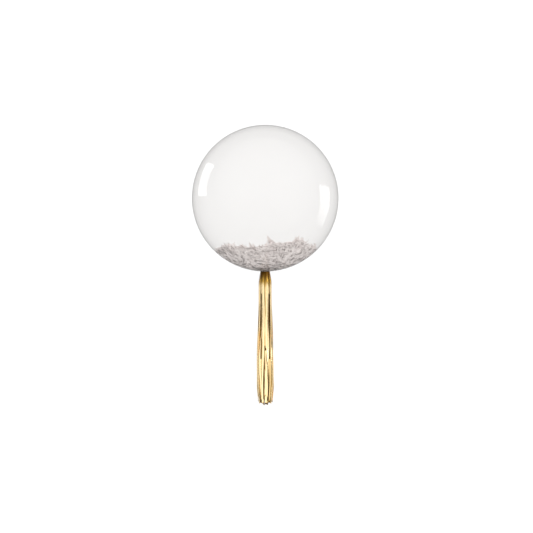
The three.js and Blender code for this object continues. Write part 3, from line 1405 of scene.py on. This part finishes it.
@dataclass
class Studio:
    """A pale floor under a soft sky, two lamp panels that only gloss shows, and the camera."""

    bearings: Bearings
    floor_reach: float = 14.0
    floor_gap: float = 0.5 * MM
    floor_sides: int = 96
    flag_sides: int = 48
    zenith: float = 1.45
    horizon: float = 0.9
    daylight: tuple[float, float, float, float] = (1.0, 0.995, 0.985, 1.0)
    flag_distance: float = 3.6
    flag_height: float = 0.9
    flag_shade: float = 0.2
    panel_distance: float = 0.55
    panel_strength: float = 13.0
    right_fades: Key = (-0.36, -0.05)
    lens: float = 120.0
    sensor: float = 36.0
    far_clip: float = 60.0
    distance: float = 6.068
    drop: float = 0.233  # the aim, below the bubble's centre in the view
    shift: float = 0.0044

    # The panels' corners, as (place along Y, height).
    LEFT_PANEL = ((0.078, 0.119), (-0.006, 0.313), (0.325, 0.399), (0.432, 0.138))
    RIGHT_PANEL = ((0.123, 0.207), (0.07, 0.435), (-0.33, 0.225), (-0.20, 0.064))

    def sky(self) -> None:
        """A soft sky, bright overhead and greyer towards the horizon."""
        world = bpy.data.worlds.new("soft_sky")
        world.use_nodes = True
        bpy.context.scene.world = world
        draft = Draft(world.node_tree)
        place = draft.out("ShaderNodeTexCoord", output="Generated")
        height = draft.wire("ShaderNodeSeparateXYZ", {0: place}, "Z")
        strength = self.horizon + (self.zenith - self.horizon) * height.eased(0.0, 0.8)
        light = draft.out("ShaderNodeBackground", {"Color": self.daylight, "Strength": strength})
        draft.node("ShaderNodeOutputWorld", {"Surface": light})

    def prop(self, name: str, mesh: bpy.types.Mesh, finish: bpy.types.Material) -> bpy.types.Object:
        """Puts a thing that isn't part of the balloon in the scene."""
        mesh.materials.append(finish)
        thing = bpy.data.objects.new(name, mesh)
        bpy.context.scene.collection.objects.link(thing)
        return thing

    def only_in_gloss(self, thing: bpy.types.Object) -> None:
        """Lets nothing but mirrored rays see a thing."""
        for rays in ("camera", "diffuse", "transmission", "volume_scatter", "shadow"):
            setattr(thing, f"visible_{rays}", False)

    def floor(self) -> None:
        """A wide round floor of pale card."""
        ring = circle(self.floor_sides) * self.floor_reach - (0.0, 0.0, self.floor_gap)
        mesh = new_mesh("floor", ring, [], [tuple(range(self.floor_sides))])
        self.prop("floor", mesh, PaleCard().make())

    def flags(self) -> None:
        """A dark band round the horizon, which the foil mirrors."""
        low = circle(self.flag_sides) * self.flag_distance
        high = low + (0.0, 0.0, self.flag_height)
        mesh = new_mesh("flags", np.concatenate([low, high]), [], ring_quads(2, self.flag_sides))
        self.only_in_gloss(self.prop("flags", mesh, LampCard("flags", self.flag_shade).make()))

    def panels(self) -> None:
        """The two lamp panels beside the bubble."""
        for name, side, corners, fades in (
            ("left_panel", -1.0, self.LEFT_PANEL, None),
            ("right_panel", 1.0, self.RIGHT_PANEL, self.right_fades),
        ):
            points = np.array([(side * self.panel_distance, y, z) for y, z in corners])
            mesh = new_mesh(name, points, [], [(0, 1, 2, 3)])
            finish = LampCard(name, self.panel_strength, fades).make()
            self.only_in_gloss(self.prop(name, mesh, finish))

    def camera(self) -> None:
        """The camera, square to the neck's axis and looking down on the balloon."""
        lens = bpy.data.cameras.new("camera")
        lens.lens, lens.sensor_width = self.lens, self.sensor
        lens.clip_end = self.far_clip
        back = -Vector(self.bearings.under)
        up = -Vector(self.bearings.neck)
        right = Vector(self.bearings.across)
        aim = Vector(self.bearings.centre) - up * self.drop + right * self.shift
        camera = bpy.data.objects.new("camera", lens)
        camera.location = aim + back * self.distance
        camera.rotation_euler = back.to_track_quat("Z", "Y").to_euler()
        bpy.context.scene.collection.objects.link(camera)
        bpy.context.scene.camera = camera

    def build(self) -> None:
        """Sets up everything round the balloon."""
        self.sky()
        self.floor()
        self.flags()
        self.panels()
        self.camera()
        bpy.context.scene.view_settings.view_transform = "Standard"


# ---- The whole balloon ----


def main() -> None:
    """Builds the balloon and the studio in order."""
    logging.basicConfig(level=logging.INFO, format="%(name)s: %(message)s")
    bearings = Bearings.read()
    Studio(bearings).build()
    film = FilmBubble(bearings)
    film.dress(film.build())
    FeatherHeap(bearings).build()
    FoilTassel(bearings).build()


if __name__ == "__main__":
    main()
